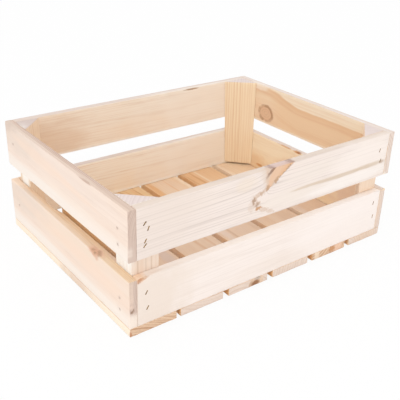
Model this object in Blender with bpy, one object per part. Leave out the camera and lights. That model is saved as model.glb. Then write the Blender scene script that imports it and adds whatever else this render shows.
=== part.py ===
"""Wooden apple crate, open at the top, for a small harvest of fruit.

Eight side boards leave one airing gap all round, four triangular posts stand in the corners,
and six slats form the bottom. Staples hold the long boards and the slats, nails hold the end
boards. X runs along the crate, the front faces -Y, and the crate stands on Z = 0.
"""

import math

import bmesh
import bpy
from mathutils import Matrix, Vector

# Crate, in metres
CRATE_LENGTH = 0.400
CRATE_WIDTH = 0.300
SIDE_GAP = 0.0227
CONTACT_GAP = 0.0003

# Sawn boards
BOARD_HEIGHT = 0.0585
LONG_BOARD_THICKNESS = 0.0100
END_BOARD_THICKNESS = 0.0095
EDGE_EASE = 0.0006
EASE_SEGMENTS = 2

# Bottom slats: the first gap from the left is narrower than the others
SLAT_COUNT = 6
SLAT_THICKNESS = 0.0100
SLAT_GAP = 0.00865
FIRST_SLAT_GAP = 0.0054

# Triangular corner posts, and those whose rip wandered: shares of the leg along the long board, foot and rim
POST_LEG = 0.032
POST_FOOT_LIFT = 0.003
WANDERED_RIPS = {
    ("front", "left"): (1.05, 1.05),
    ("front", "right"): (0.955, 1.16),
    ("back", "right"): (0.97, 1.20),
}

# Narrow crown staples
STAPLE_CROWN = 0.0060
WIRE_WIDTH = 0.0012
WIRE_THICKNESS = 0.0010
STAPLE_BITE = 0.0080
STAPLE_POINT = 0.0012
STAPLE_BEND = 0.0008
STAPLE_SINK = 0.0002
LEFT_SLANT = math.radians(32)
RIGHT_SLANT = math.radians(15)
SLAT_STAPLE_SLANT = math.radians(75)

# Hand shots of the front joints: rise above the board's middle, step towards the crate's middle, added slant.
# The upper left joint took two more than the others.
FRONT_SHOTS = {
    ("upper", "left"): (
        (0.0105, -0.0008, math.radians(9)),
        (0.0039, 0.0034, math.radians(-9)),
        (-0.0095, -0.0002, 0.0),
        (-0.0146, -0.0007, math.radians(15)),
    ),
    ("lower", "left"): ((0.0098, 0.0005, 0.0), (-0.0097, 0.0017, 0.0)),
    ("upper", "right"): ((0.0085, 0.0042, math.radians(6)), (-0.0064, 0.0002, math.radians(4))),
    ("lower", "right"): ((0.0132, 0.0004, 0.0), (-0.0076, -0.0025, math.radians(-6))),
}

# Round headed nails
NAIL_HEAD_DIAMETER = 0.0028
NAIL_HEAD_THICKNESS = 0.0007
NAIL_SHANK_DIAMETER = 0.0015
NAIL_POINT = 0.0022
NAIL_BITE = 0.0160
NAIL_PAST_STAPLES = 0.0020
NAIL_SINK = 0.0002
NAIL_SIDES = 12

# Room round a fastener in the wood, and how far its cutter stands out of the face
SEAT_CLEARANCE = 0.0003
CUTTER_RELIEF = 0.0010

# Levels and places that follow from the sizes above
HALF_LENGTH = CRATE_LENGTH / 2
HALF_WIDTH = CRATE_WIDTH / 2
LOWER_BOARD_BASE = SLAT_THICKNESS + CONTACT_GAP
UPPER_BOARD_BASE = LOWER_BOARD_BASE + BOARD_HEIGHT + SIDE_GAP
RIM_HEIGHT = UPPER_BOARD_BASE + BOARD_HEIGHT
LONG_BOARD_LENGTH = CRATE_LENGTH - 2 * (END_BOARD_THICKNESS + CONTACT_GAP)
POST_FOOT = SLAT_THICKNESS + POST_FOOT_LIFT
POST_CORNER_X = HALF_LENGTH - END_BOARD_THICKNESS - CONTACT_GAP
POST_CORNER_Y = HALF_WIDTH - LONG_BOARD_THICKNESS - CONTACT_GAP
STAPLE_X = POST_CORNER_X - POST_LEG / 3
NAIL_Y = POST_CORNER_Y - STAPLE_BITE - NAIL_PAST_STAPLES

BOARD_MIDDLES = {
    "lower": LOWER_BOARD_BASE + BOARD_HEIGHT / 2,
    "upper": UPPER_BOARD_BASE + BOARD_HEIGHT / 2,
}
# Back staples at the third points of a board's height, nails about its middle and in its lower half
BACK_RISES = (BOARD_HEIGHT / 6, -BOARD_HEIGHT / 6)
NAIL_RISES = {
    ("upper", "front"): (0.0025, -0.0165),
    ("lower", "front"): (0.0, -0.0146),
    ("upper", "back"): (0.0035,),
    ("lower", "back"): (-0.0020,),
}
SIDE_SIGNS = {"left": -1, "right": 1, "front": -1, "back": 1}

# Colour (linear), roughness and metallic value of each finish
FINISHES = {
    "pine_long_board": ((0.90, 0.78, 0.66), 0.62, 0.0),
    "pine_end_board": ((0.88, 0.72, 0.58), 0.64, 0.0),
    "pine_post": ((0.84, 0.63, 0.42), 0.66, 0.0),
    "pine_slat": ((0.76, 0.53, 0.32), 0.70, 0.0),
    "staple_wire": ((0.46, 0.38, 0.22), 0.38, 1.0),
    "nail_steel": ((0.50, 0.47, 0.43), 0.42, 1.0),
}


def clear_scene():
    """Remove whatever objects the file holds."""
    for item in list(bpy.data.objects):
        bpy.data.objects.remove(item, do_unlink=True)


def finish_material(name):
    """One plain principled material for each finish."""
    colour, roughness, metallic = FINISHES[name]
    material = bpy.data.materials.get(name) or bpy.data.materials.new(name)
    material.use_nodes = True
    shader = material.node_tree.nodes["Principled BSDF"]
    shader.inputs["Base Color"].default_value = (*colour, 1.0)
    shader.inputs["Roughness"].default_value = roughness
    shader.inputs["Metallic"].default_value = metallic
    return material


def mesh_from(bm, name):
    """Close a bmesh into a mesh whose faces point out."""
    bmesh.ops.recalc_face_normals(bm, faces=bm.faces)
    mesh = bpy.data.meshes.new(name)
    bm.to_mesh(mesh)
    bm.free()
    return mesh


def place(name, mesh, parent, location=(0, 0, 0), rotation=None):
    """Add one object to the scene under the crate's empty."""
    piece = bpy.data.objects.new(name, mesh)
    bpy.context.scene.collection.objects.link(piece)
    piece.parent = parent
    piece.location = location
    if rotation is not None:
        piece.rotation_euler = rotation.to_euler()
    return piece


def lofted(foot, top, depth, name):
    """A solid between two flat outlines with as many corners, centred on Z."""
    bm = bmesh.new()
    low = [bm.verts.new((x, y, -depth / 2)) for x, y in foot]
    high = [bm.verts.new((x, y, depth / 2)) for x, y in top]
    bm.faces.new(low)
    bm.faces.new(high)
    for index in range(len(low)):
        bm.faces.new((low[index - 1], low[index], high[index], high[index - 1]))
    return mesh_from(bm, name)


def extruded(outline, depth, name):
    """A prism: a flat outline in XY, centred on Z and extruded along it."""
    return lofted(outline, outline, depth, name)


def ease_edges(piece):
    """Take the sharpness off every sawn edge."""
    ease = piece.modifiers.new("eased_edges", "BEVEL")
    ease.width = EDGE_EASE
    ease.segments = EASE_SEGMENTS
    ease.limit_method = "ANGLE"


def board(name, size, centre, finish, parent):
    """A sawn board of the given size with eased edges."""
    bm = bmesh.new()
    bmesh.ops.create_cube(bm, size=1.0, matrix=Matrix.Diagonal((*size, 1.0)))
    piece = place(name, mesh_from(bm, name), parent, centre)
    piece.data.materials.append(finish_material(finish))
    ease_edges(piece)
    return piece


def corner_post(end, side, parent):
    """A right-angled triangular post whose square corner fits the crate's corner."""
    into_x = -SIDE_SIGNS[end] * POST_LEG
    into_y = -SIDE_SIGNS[side] * POST_LEG
    foot, rim = [
        [(0, 0), (into_x * share, 0), (0, into_y)] for share in WANDERED_RIPS.get((side, end), (1.0, 1.0))
    ]
    name = f"{side}_{end}_post"
    corner = (SIDE_SIGNS[end] * POST_CORNER_X, SIDE_SIGNS[side] * POST_CORNER_Y)
    height = RIM_HEIGHT - POST_FOOT
    post = place(name, lofted(foot, rim, height, name), parent, (*corner, POST_FOOT + height / 2))
    post.data.materials.append(finish_material("pine_post"))
    ease_edges(post)
    return post


def arc(centre, radius, start, steps=3):
    """Points of a quarter turn that starts at the given angle and runs clockwise."""
    angles = [start - math.pi / 2 * step / steps for step in range(steps + 1)]
    return [(centre[0] + radius * math.cos(a), centre[1] + radius * math.sin(a)) for a in angles]


def staple_mesh(leg, name):
    """A bent wire: crown along X just under Y = 0, legs down -Y, wire width along Z."""
    half = STAPLE_CROWN / 2
    inner = half - WIRE_THICKNESS
    crown = -STAPLE_SINK
    shoulder = half - STAPLE_BEND
    outline = [(-half, STAPLE_POINT - leg)]
    outline += arc((-shoulder, crown - STAPLE_BEND), STAPLE_BEND, math.pi)
    outline += arc((shoulder, crown - STAPLE_BEND), STAPLE_BEND, math.pi / 2)
    outline += [(half, STAPLE_POINT - leg), (inner, -leg), (inner, crown - WIRE_THICKNESS)]
    outline += [(-inner, crown - WIRE_THICKNESS), (-inner, -leg)]
    return extruded(outline, WIRE_WIDTH, name)


def staple_cutter_mesh(leg, name):
    """The slot that a staple seats in, open through the board's face."""
    half = STAPLE_CROWN / 2 + SEAT_CLEARANCE
    inner = STAPLE_CROWN / 2 - WIRE_THICKNESS - SEAT_CLEARANCE
    under = -STAPLE_SINK - WIRE_THICKNESS - SEAT_CLEARANCE
    foot = -leg - SEAT_CLEARANCE
    outline = [(-half, foot), (-half, CUTTER_RELIEF), (half, CUTTER_RELIEF), (half, foot)]
    outline += [(inner, foot), (inner, under), (-inner, under), (-inner, foot)]
    return extruded(outline, WIRE_WIDTH + 2 * SEAT_CLEARANCE, name)


def turned(profile, name):
    """A solid of revolution about Y from (radius, height) points that start and end on the axis."""
    bm = bmesh.new()
    rim = [bm.verts.new((radius, height, 0)) for radius, height in profile]
    edges = [bm.edges.new(pair) for pair in zip(rim, rim[1:])]
    bmesh.ops.spin(
        bm,
        geom=rim + edges,
        cent=(0, 0, 0),
        axis=(0, 1, 0),
        angle=math.tau,
        steps=NAIL_SIDES,
        use_merge=True,
    )
    bmesh.ops.remove_doubles(bm, verts=bm.verts, dist=1e-6)
    return mesh_from(bm, name)


def nail_mesh(name):
    """A nail with a flat round head and a conical point, driven down -Y."""
    head = NAIL_HEAD_DIAMETER / 2
    shank = NAIL_SHANK_DIAMETER / 2
    top = -NAIL_SINK
    neck = top - NAIL_HEAD_THICKNESS
    tip = -END_BOARD_THICKNESS - CONTACT_GAP - NAIL_BITE
    profile = [(0, top), (head, top), (head, neck), (shank, neck), (shank, tip + NAIL_POINT), (0, tip)]
    nail = turned(profile, name)
    nail.shade_smooth()
    nail.set_sharp_from_angle(angle=math.radians(40))
    return nail


def nail_cutter_mesh(name):
    """The stepped hole that a nail seats in, open through the board's face."""
    head = NAIL_HEAD_DIAMETER / 2 + SEAT_CLEARANCE
    shank = NAIL_SHANK_DIAMETER / 2 + SEAT_CLEARANCE
    neck = -NAIL_SINK - NAIL_HEAD_THICKNESS - SEAT_CLEARANCE
    tip = -END_BOARD_THICKNESS - CONTACT_GAP - NAIL_BITE - SEAT_CLEARANCE
    top = CUTTER_RELIEF
    return turned([(0, top), (head, top), (head, neck), (shank, neck), (shank, tip), (0, tip)], name)


def face_turn(outward, up, slant):
    """Turn a fastener so that its local Y points out of a face and its X leans from up by slant."""
    out = Vector(outward)
    upright = Vector(up)
    along = upright * math.cos(slant) + upright.cross(out) * math.sin(slant)
    return Matrix((along, out, along.cross(out))).transposed()


def drive(name, mesh, cutter_mesh, finish, parent, spot, turn, pieces):
    """Seat one fastener: place it, and cut its slot in every piece that it holds."""
    fastener = place(name, mesh, parent, spot, turn)
    if not mesh.materials:
        mesh.materials.append(finish_material(finish))
    cutter = place(f"{name}_slot", cutter_mesh, parent, spot, turn)
    cutter.hide_render = True
    cutter.display_type = "WIRE"
    for piece in pieces:
        cut = piece.modifiers.new(f"slot_{name}", "BOOLEAN")
        cut.operation = "DIFFERENCE"
        cut.solver = "EXACT"
        cut.object = cutter
    return fastener


def build_boards(parent):
    """The eight side boards, keyed by side and level."""
    boards = {}
    for level, middle in BOARD_MIDDLES.items():
        for side in ("front", "back"):
            size = (LONG_BOARD_LENGTH, LONG_BOARD_THICKNESS, BOARD_HEIGHT)
            centre = (0, SIDE_SIGNS[side] * (HALF_WIDTH - LONG_BOARD_THICKNESS / 2), middle)
            name = f"{side}_{level}_board"
            boards[side, level] = board(name, size, centre, "pine_long_board", parent)
        for end in ("left", "right"):
            size = (END_BOARD_THICKNESS, CRATE_WIDTH, BOARD_HEIGHT)
            centre = (SIDE_SIGNS[end] * (HALF_LENGTH - END_BOARD_THICKNESS / 2), 0, middle)
            name = f"{end}_{level}_end_board"
            boards[end, level] = board(name, size, centre, "pine_end_board", parent)
    return boards


def build_slats(parent):
    """The bottom slats, from left to right: they share the length that the gaps leave."""
    wide_gaps = SLAT_COUNT - 2
    width = (CRATE_LENGTH - FIRST_SLAT_GAP - wide_gaps * SLAT_GAP) / SLAT_COUNT
    slats = []
    start = -HALF_LENGTH
    for index in range(SLAT_COUNT):
        size = (width, CRATE_WIDTH, SLAT_THICKNESS)
        centre = (start + width / 2, 0, SLAT_THICKNESS / 2)
        slats.append(board(f"bottom_slat_{index + 1}", size, centre, "pine_slat", parent))
        start += width + (FIRST_SLAT_GAP if index == 0 else SLAT_GAP)
    return slats


def staple_shots(side, level, end):
    """Rise above the board's middle, step towards the crate's middle and slant of each shot."""
    slant = LEFT_SLANT if end == "left" else RIGHT_SLANT
    if side == "back":
        return [(rise, 0.0, slant) for rise in BACK_RISES]
    return [(rise, step, slant + added) for rise, step, added in FRONT_SHOTS[level, end]]


def staple_long_boards(boards, posts, parent):
    """Staple the front and back boards to the corner posts."""
    leg = LONG_BOARD_THICKNESS + CONTACT_GAP + STAPLE_BITE
    mesh = staple_mesh(leg, "board_staple")
    cutter_mesh = staple_cutter_mesh(leg, "board_staple_slot")
    for side in ("front", "back"):
        outward = (0, SIDE_SIGNS[side], 0)
        for level, middle in BOARD_MIDDLES.items():
            for end in ("left", "right"):
                pieces = (boards[side, level], posts[side, end])
                for index, (rise, step, slant) in enumerate(staple_shots(side, level, end)):
                    spot = (SIDE_SIGNS[end] * (STAPLE_X - step), SIDE_SIGNS[side] * HALF_WIDTH, middle + rise)
                    turn = face_turn(outward, (0, 0, 1), slant)
                    name = f"{side}_staple_{level}_{end}_{index + 1}"
                    drive(name, mesh, cutter_mesh, "staple_wire", parent, spot, turn, pieces)


def nail_end_boards(boards, posts, parent):
    """Nail the end boards to the corner posts, past the tips of the staples."""
    mesh = nail_mesh("end_nail")
    cutter_mesh = nail_cutter_mesh("end_nail_hole")
    for end in ("left", "right"):
        turn = face_turn((SIDE_SIGNS[end], 0, 0), (0, 0, 1), 0.0)
        for level, middle in BOARD_MIDDLES.items():
            for side in ("front", "back"):
                pieces = (boards[end, level], posts[side, end])
                for index, rise in enumerate(NAIL_RISES[level, side]):
                    spot = (SIDE_SIGNS[end] * HALF_LENGTH, SIDE_SIGNS[side] * NAIL_Y, middle + rise)
                    name = f"{end}_nail_{level}_{side}_{index + 1}"
                    drive(name, mesh, cutter_mesh, "nail_steel", parent, spot, turn, pieces)


def staple_slats(slats, boards, parent):
    """Staple each slat from below to the lower front and back boards."""
    leg = SLAT_THICKNESS + CONTACT_GAP + STAPLE_BITE
    mesh = staple_mesh(leg, "slat_staple")
    cutter_mesh = staple_cutter_mesh(leg, "slat_staple_slot")
    turn = face_turn((0, 0, -1), (0, 1, 0), SLAT_STAPLE_SLANT)
    for number, slat in enumerate(slats, start=1):
        for side in ("front", "back"):
            spot = (slat.location.x, SIDE_SIGNS[side] * (HALF_WIDTH - LONG_BOARD_THICKNESS / 2), 0)
            pieces = (slat, boards[side, "lower"])
            name = f"slat_staple_{number}_{side}"
            drive(name, mesh, cutter_mesh, "staple_wire", parent, spot, turn, pieces)


def build_crate():
    """Saw the wood, then fasten it together."""
    clear_scene()
    crate = bpy.data.objects.new("crate", None)
    bpy.context.scene.collection.objects.link(crate)
    boards = build_boards(crate)
    corners = [(side, end) for side in ("front", "back") for end in ("left", "right")]
    posts = {(side, end): corner_post(end, side, crate) for side, end in corners}
    slats = build_slats(crate)
    staple_long_boards(boards, posts, crate)
    nail_end_boards(boards, posts, crate)
    staple_slats(slats, boards, crate)


build_crate()
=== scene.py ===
# %% [markdown]
# # A fruit crate of pale pine
# The real crate is eighteen sawn pieces of pine held by staples and nails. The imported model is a
# fixed frame: it says where each piece lies and how large it is, so nothing here is measured twice.
# Each piece of wood is modelled again over its node, with worn edges, chips and seats for the
# fasteners, while the fasteners keep their own shapes and only get better metal.

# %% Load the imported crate
import math
from dataclasses import dataclass

import bmesh
import bpy
from mathutils import Color, Euler, Matrix, Vector


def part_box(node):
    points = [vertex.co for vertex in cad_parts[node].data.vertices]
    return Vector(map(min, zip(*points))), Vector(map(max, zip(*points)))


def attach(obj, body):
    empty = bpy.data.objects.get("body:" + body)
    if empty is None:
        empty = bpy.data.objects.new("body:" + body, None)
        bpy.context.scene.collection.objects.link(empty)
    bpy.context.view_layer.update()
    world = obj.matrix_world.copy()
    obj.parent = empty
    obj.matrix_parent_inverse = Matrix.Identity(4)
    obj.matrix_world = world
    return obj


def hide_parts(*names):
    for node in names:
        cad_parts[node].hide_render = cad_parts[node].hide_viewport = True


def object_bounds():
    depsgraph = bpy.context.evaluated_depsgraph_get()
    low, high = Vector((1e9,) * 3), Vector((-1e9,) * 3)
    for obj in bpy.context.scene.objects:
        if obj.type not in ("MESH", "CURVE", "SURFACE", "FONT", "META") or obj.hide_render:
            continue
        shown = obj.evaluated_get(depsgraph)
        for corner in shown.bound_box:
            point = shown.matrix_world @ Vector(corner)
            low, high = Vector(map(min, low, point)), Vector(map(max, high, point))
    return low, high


MM = 0.001

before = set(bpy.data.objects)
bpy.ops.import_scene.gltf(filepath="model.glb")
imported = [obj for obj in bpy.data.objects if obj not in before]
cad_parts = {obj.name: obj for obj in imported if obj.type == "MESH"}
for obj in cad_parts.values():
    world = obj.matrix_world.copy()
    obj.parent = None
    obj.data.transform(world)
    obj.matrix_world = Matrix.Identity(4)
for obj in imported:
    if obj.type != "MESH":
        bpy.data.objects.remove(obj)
cad_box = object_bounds()
print("packed nodes:", len(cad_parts))
print("packed box in mm:", [round(side / MM, 1) for side in cad_box[1] - cad_box[0]])

# %% [markdown]
# ## The camera
# A photograph fixes the viewpoint, because straight board edges run to their vanishing points.
# Guessing a camera by eye takes many tries, so the place, the turn and the lens were worked out from
# the crate's corners. The focal length counts in pixels of a square picture, and the roll is the
# slight tilt of a hand-held camera.

# %% Camera at the photograph's viewpoint
PICTURE_PIXELS = 400
FOCAL_PIXELS = 654.06
SENSOR_MM = 36.0
CAMERA_PLACE = Vector((-0.4820, -0.6274, 0.4410))
CAMERA_YAW = math.radians(37.70)
CAMERA_PITCH = math.radians(-26.627)
CAMERA_ROLL = math.radians(1.852)


def add_camera():
    """A camera that looks along +Y before it is rolled, pitched and turned."""
    lens = bpy.data.cameras.new("viewpoint")
    lens.sensor_width = SENSOR_MM
    lens.lens = SENSOR_MM * FOCAL_PIXELS / PICTURE_PIXELS
    camera = bpy.data.objects.new("viewpoint", lens)
    bpy.context.scene.collection.objects.link(camera)
    turn = Matrix.Rotation(-CAMERA_YAW, 3, "Z") @ Matrix.Rotation(math.pi / 2 + CAMERA_PITCH, 3, "X")
    camera.rotation_euler = (turn @ Matrix.Rotation(CAMERA_ROLL, 3, "Z")).to_euler()
    camera.location = CAMERA_PLACE
    return camera


bpy.context.scene.camera = add_camera()
print("lens in mm:", round(bpy.context.scene.camera.data.lens, 2))

# %% [markdown]
# ## Shader maths
# Wood is a formula: rings round a pith, fibres along the log, knots that push the rings aside. Wiring
# such a formula by hand is slow to read, so one small class wraps an output socket and turns Python's
# operators into Math nodes. Every other node comes from its one method called node.

# %% A wire that can be added, multiplied and mixed
MIX_UNDER = 6
MIX_OVER = 7
MIX_COLOUR = 2


class Wire:
    """An output socket of a node tree; arithmetic on wires adds Math nodes to that tree."""

    def __init__(self, tree, socket=None):
        self.tree = tree
        self.socket = socket

    def node(self, kind, settings=None, sockets=None, output=0):
        """Add a node: its settings first, then the values or links of its sockets."""
        made = self.tree.nodes.new(kind)
        for name, value in (settings or {}).items():
            setattr(made, name, value)
        for key, value in (sockets or {}).items():
            if isinstance(value, Wire):
                self.tree.links.new(value.socket, made.inputs[key])
            else:
                made.inputs[key].default_value = value
        return Wire(self.tree, made.outputs[output] if made.outputs else None)

    def math(self, operation, first, second=0.0):
        return self.node("ShaderNodeMath", {"operation": operation}, {0: first, 1: second})

    def __add__(self, other):
        return self.math("ADD", self, other)

    def __radd__(self, other):
        return self.math("ADD", other, self)

    def __sub__(self, other):
        return self.math("SUBTRACT", self, other)

    def __rsub__(self, other):
        return self.math("SUBTRACT", other, self)

    def __mul__(self, other):
        return self.math("MULTIPLY", self, other)

    def __rmul__(self, other):
        return self.math("MULTIPLY", other, self)

    def __truediv__(self, other):
        return self.math("DIVIDE", self, other)

    def __pow__(self, other):
        return self.math("POWER", self, other)

    def __rpow__(self, other):
        return self.math("POWER", other, self)

    def __abs__(self):
        return self.math("ABSOLUTE", self)

    def most(self, other):
        return self.math("MAXIMUM", self, other)

    def least(self, other):
        return self.math("MINIMUM", self, other)

    def fraction(self):
        return self.math("FRACT", self)

    def ease(self, start, end):
        """A smooth rise from 0 at start to 1 at end, or a fall where start is the larger."""
        sockets = {"Value": self, "From Min": start, "From Max": end}
        return self.node("ShaderNodeMapRange", {"interpolation_type": "SMOOTHSTEP"}, sockets)

    def band(self, rise, fall):
        """1 between a rise and a fall, each given by its start and its end."""
        return self.ease(*rise) * self.ease(*fall)

    def tint(self, under, over):
        """Lay one colour over another, as far as this wire says."""
        sockets = {0: self, MIX_UNDER: under, MIX_OVER: over}
        return self.node("ShaderNodeMix", {"data_type": "RGBA"}, sockets, MIX_COLOUR)

    def vector(self, operation, other=(0.0, 0.0, 0.0), output=0):
        return self.node("ShaderNodeVectorMath", {"operation": operation}, {0: self, 1: other}, output)

    def stretch(self, scale):
        return self.vector("MULTIPLY", scale)

    def dot(self, direction):
        return self.vector("DOT_PRODUCT", direction, "Value")

    def length(self):
        return self.vector("LENGTH", output="Value")

    def part(self, axis):
        """One of a vector's three numbers, by the name of its axis."""
        return self.node("ShaderNodeSeparateXYZ", {}, {0: self}, axis)

    def noise(self, detail=2.0, roughness=0.5):
        """Cloudy noise about 0, with features one unit of this vector wide."""
        sockets = {"Vector": self, "Scale": 1.0, "Detail": detail, "Roughness": roughness}
        return self.node("ShaderNodeTexNoise", {}, sockets) - 0.5


def tone(red, green, blue):
    """A colour as a picture shows it, 0 to 255, in the linear values that shaders take."""
    shown = Color((red, green, blue)) / 255
    return (*shown.from_srgb_to_scene_linear(), 1.0)


print("pale sapwood in linear values:", [round(level, 3) for level in tone(244, 230, 218)[:3]])

# %% [markdown]
# ## The studio
# The crate stands on white paper in soft light from all round, as in a light tent, so there are hardly
# any shadows. The world gives that even light, and two large lamps on the camera's side make the front
# and the left end a little brighter than what faces up. Paper that only reflects would look grey, so
# what the camera sees of it is mostly an emission of strength 1, which is white, and the rest is the
# paper's own shading, which keeps the crate's shadow.

# %% Seen directly, by gloss or through glass
WHITE = (1.0, 1.0, 1.0, 1.0)
WORLD_LEVEL = 0.95


def empty_tree(owner):
    """Clear the nodes of a material or a world, and return the wire that builds new ones."""
    owner.use_nodes = True
    owner.node_tree.nodes.clear()
    return Wire(owner.node_tree)


def seen_straight(start):
    """1 for a ray that shows the backdrop as it looks, 0 for a ray that carries its light."""
    kinds = ("Is Camera Ray", "Is Glossy Ray", "Is Transmission Ray")
    rays = [start.node("ShaderNodeLightPath", output=kind) for kind in kinds]
    return rays[0].most(rays[1]).most(rays[2])


def light_world():
    """An even sky that looks white and lights the crate at its own level."""
    world = bpy.data.worlds.new("light_tent")
    start = empty_tree(world)
    sky = start.node("ShaderNodeBackground", {}, {"Color": WHITE, "Strength": WORLD_LEVEL})
    shown = start.node("ShaderNodeBackground", {}, {"Color": WHITE, "Strength": 1.0})
    mixed = start.node("ShaderNodeMixShader", {}, {0: seen_straight(start), 1: sky, 2: shown})
    start.node("ShaderNodeOutputWorld", {}, {"Surface": mixed})
    bpy.context.scene.world = world


light_world()
bpy.context.scene.view_settings.view_transform = "Standard"
print("world level:", WORLD_LEVEL)

# %% White paper that keeps the shadow
PAPER_SIZE = 14.0
PAPER_DROP = 0.0004
PAPER_TONE = tone(250, 250, 250)
PAPER_GLOW = 0.90
SHADE_LEFT = (-0.115, -0.100)
SHADE_RIGHT = (0.215, 0.200)
SHADE_FRONT = (0.135, 0.150)
SHADE_BACK = (0.200, 0.185)


def add_primitive(add, name, **settings):
    """Add one primitive with nothing else selected, and apply its place, turn and size."""
    bpy.ops.object.select_all(action="DESELECT")
    add(**settings)
    bpy.ops.object.transform_apply(location=True, rotation=True, scale=True)
    bpy.context.object.name = name
    return bpy.context.object


def close_shade(start):
    """1 on the strip right behind the crate, where its shadow is deepest, 0 elsewhere."""
    place = start.node("ShaderNodeTexCoord", output="Object")
    return place.part("X").band(SHADE_LEFT, SHADE_RIGHT) * place.part("Y").band(SHADE_FRONT, SHADE_BACK)


def lay_paper():
    """A wide sheet under the crate."""
    place = (0.0, 0.0, -PAPER_DROP)
    paper = add_primitive(bpy.ops.mesh.primitive_plane_add, "studio_paper", size=PAPER_SIZE, location=place)
    material = bpy.data.materials.new("studio_paper")
    start = empty_tree(material)
    matt = start.node("ShaderNodeBsdfDiffuse", {}, {"Color": PAPER_TONE})
    glow = start.node("ShaderNodeEmission", {}, {"Color": WHITE, "Strength": 1.0})
    share = seen_straight(start) * (1.0 - close_shade(start)) * PAPER_GLOW
    mixed = start.node("ShaderNodeMixShader", {}, {0: share, 1: matt, 2: glow})
    start.node("ShaderNodeOutputMaterial", {}, {"Surface": mixed})
    paper.data.materials.append(material)
    return paper


print("paper laid:", lay_paper().name)

# %% Two soft lamps on the camera's side
LAMPS = {
    "front_softbox": ((-0.5, -1.8, 1.3), 1.6, 4.3),
    "left_softbox": ((-1.8, -0.3, 1.2), 1.6, 4.2),
}


def hang_lamp(name, place, side, watts):
    """A square area lamp that points at the crate's middle."""
    light = bpy.data.lights.new(name, "AREA")
    light.size = side
    light.energy = watts
    lamp = bpy.data.objects.new(name, light)
    bpy.context.scene.collection.objects.link(lamp)
    middle = (cad_box[0] + cad_box[1]) / 2
    lamp.location = place
    lamp.rotation_euler = (middle - Vector(place)).to_track_quat("-Z", "Y").to_euler()


for lamp_name, (lamp_place, lamp_side, lamp_watts) in LAMPS.items():
    hang_lamp(lamp_name, lamp_place, lamp_side, lamp_watts)
print("lamps:", ", ".join(LAMPS))

# %% [markdown]
# ## How a piece was cut from its log
# Growth rings are nested cylinders round the pith, so one solid formula gives lines on a face, arcs on
# an end and stripes on an edge, and they meet at every corner as in real wood. A painted texture
# wouldn't. Each piece has its own log: where the pith lies, how wide the rings are, how strong they
# look, which knots the saw went through and which stains it carries, with the painted light and shade
# that some pieces carry as well. Places on a board are in millimetres from its middle, as a maker would
# mark them: along the grain, then across it.

# %% The facts of one piece of timber
OUTER_FACE = 1
INNER_FACE = -1
RIGHT_THROUGH = 1000.0


@dataclass
class Knot:
    """An oval knot: its middle, its half sizes, its lean in degrees and how dark it is."""

    along: float
    across: float
    half_length: float
    half_width: float
    lean: float = 0.0
    strength: float = 1.0
    depth: float = 0.0
    half_depth: float = RIGHT_THROUGH


@dataclass
class StainAndPaintedLight:
    """A soft oval of another colour, right through the board or, with a depth, an egg inside it; most are
    stains, and a few are painted light or painted shade.
    """

    along: float
    across: float
    half_length: float
    half_width: float
    colour: tuple
    strength: float
    lean: float = 0.0
    face: int = 0
    depth: float = 0.0
    half_depth: float = RIGHT_THROUGH
    ragged: float = 0.0


@dataclass
class Timber:
    """The log's pith and ring width, the colours of one piece, what grew in it, and its stains and painted
    light and shade.
    """

    pith: tuple
    pale: tuple
    late: tuple
    drift: tuple
    edge: tuple
    end: tuple
    end_dark: tuple
    ring_width: float = 4.5
    line_from: float = 0.25
    edge_lines: float = 0.4
    taper: float = 0.010
    sway: float = 4.0
    contrast: float = 0.4
    drift_share: float = 0.5
    streak_share: float = 0.2
    knots: tuple = ()
    stains_and_painted_light: tuple = ()
    bends: tuple = ()
    growths: tuple = ()


print("a piece of timber has", len(Timber.__dataclass_fields__), "facts")

# %% Coordinates that follow the grain
ALONG, ACROSS, OUT = range(3)


@dataclass
class Grain:
    """A piece's own coordinates in millimetres: along the grain, across its face and out of it."""

    space: Wire
    along: Wire
    across: Wire
    depth: Wire
    normal: Wire
    turn: Matrix


def grain_of(start, middle, turn):
    """Object coordinates, moved to the piece's middle and turned to its grain."""
    place = start.node("ShaderNodeTexCoord", output="Object")
    sockets = {"Vector": place, "Location": middle, "Rotation": turn, "Scale": (MM, MM, MM)}
    space = start.node("ShaderNodeMapping", {"vector_type": "TEXTURE"}, sockets)
    parts = [space.part(axis) for axis in "XYZ"]
    normal = start.node("ShaderNodeNewGeometry", output="Normal")
    return Grain(space, *parts, normal, turn.to_matrix())


def facing(grain, axis):
    """How far the surface faces along one of the grain's own axes, from -1 to 1."""
    return grain.normal.dot(grain.turn.col[axis])


def oval(grain, spot):
    """The wood round a knot or stain, moved, turned and scaled so that the oval is a unit ball."""
    sockets = {
        "Vector": grain.space,
        "Location": (spot.along, spot.across, spot.depth),
        "Rotation": (0.0, 0.0, math.radians(spot.lean)),
        "Scale": (spot.half_length, spot.half_width, spot.half_depth),
    }
    return grain.space.node("ShaderNodeMapping", {"vector_type": "TEXTURE"}, sockets)


print("grain axes: along, across, out of the face")

# %% [markdown]
# ## Knots
# A knot is a branch that the trunk grew round. On a face it is an oval with rings of its own, a dark
# rim of bark, and an amber halo, and the trunk's rings bulge round it. One Mapping node turns the
# face into the knot's own circle, so the same distance gives the rings, the rim and the halo.

# %% Distance from a knot, and the bulge of the rings round it
KNOT_GRIP = 0.85
KNOT_REACH = 0.35
KNOT_WOBBLE = 0.35


def knot_reach(grain, knot):
    """0 in a knot's middle, 1 on its rim, more outside it."""
    flat = oval(grain, knot)
    return flat.length() + flat.noise() * KNOT_WOBBLE


def bulge(grain, knot, reach):
    """How far a knot draws the ring pattern in towards its own middle."""
    return (grain.across - knot.across) * (KNOT_GRIP * math.e ** (reach * reach * -KNOT_REACH))


print("knot grip:", KNOT_GRIP)

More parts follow.
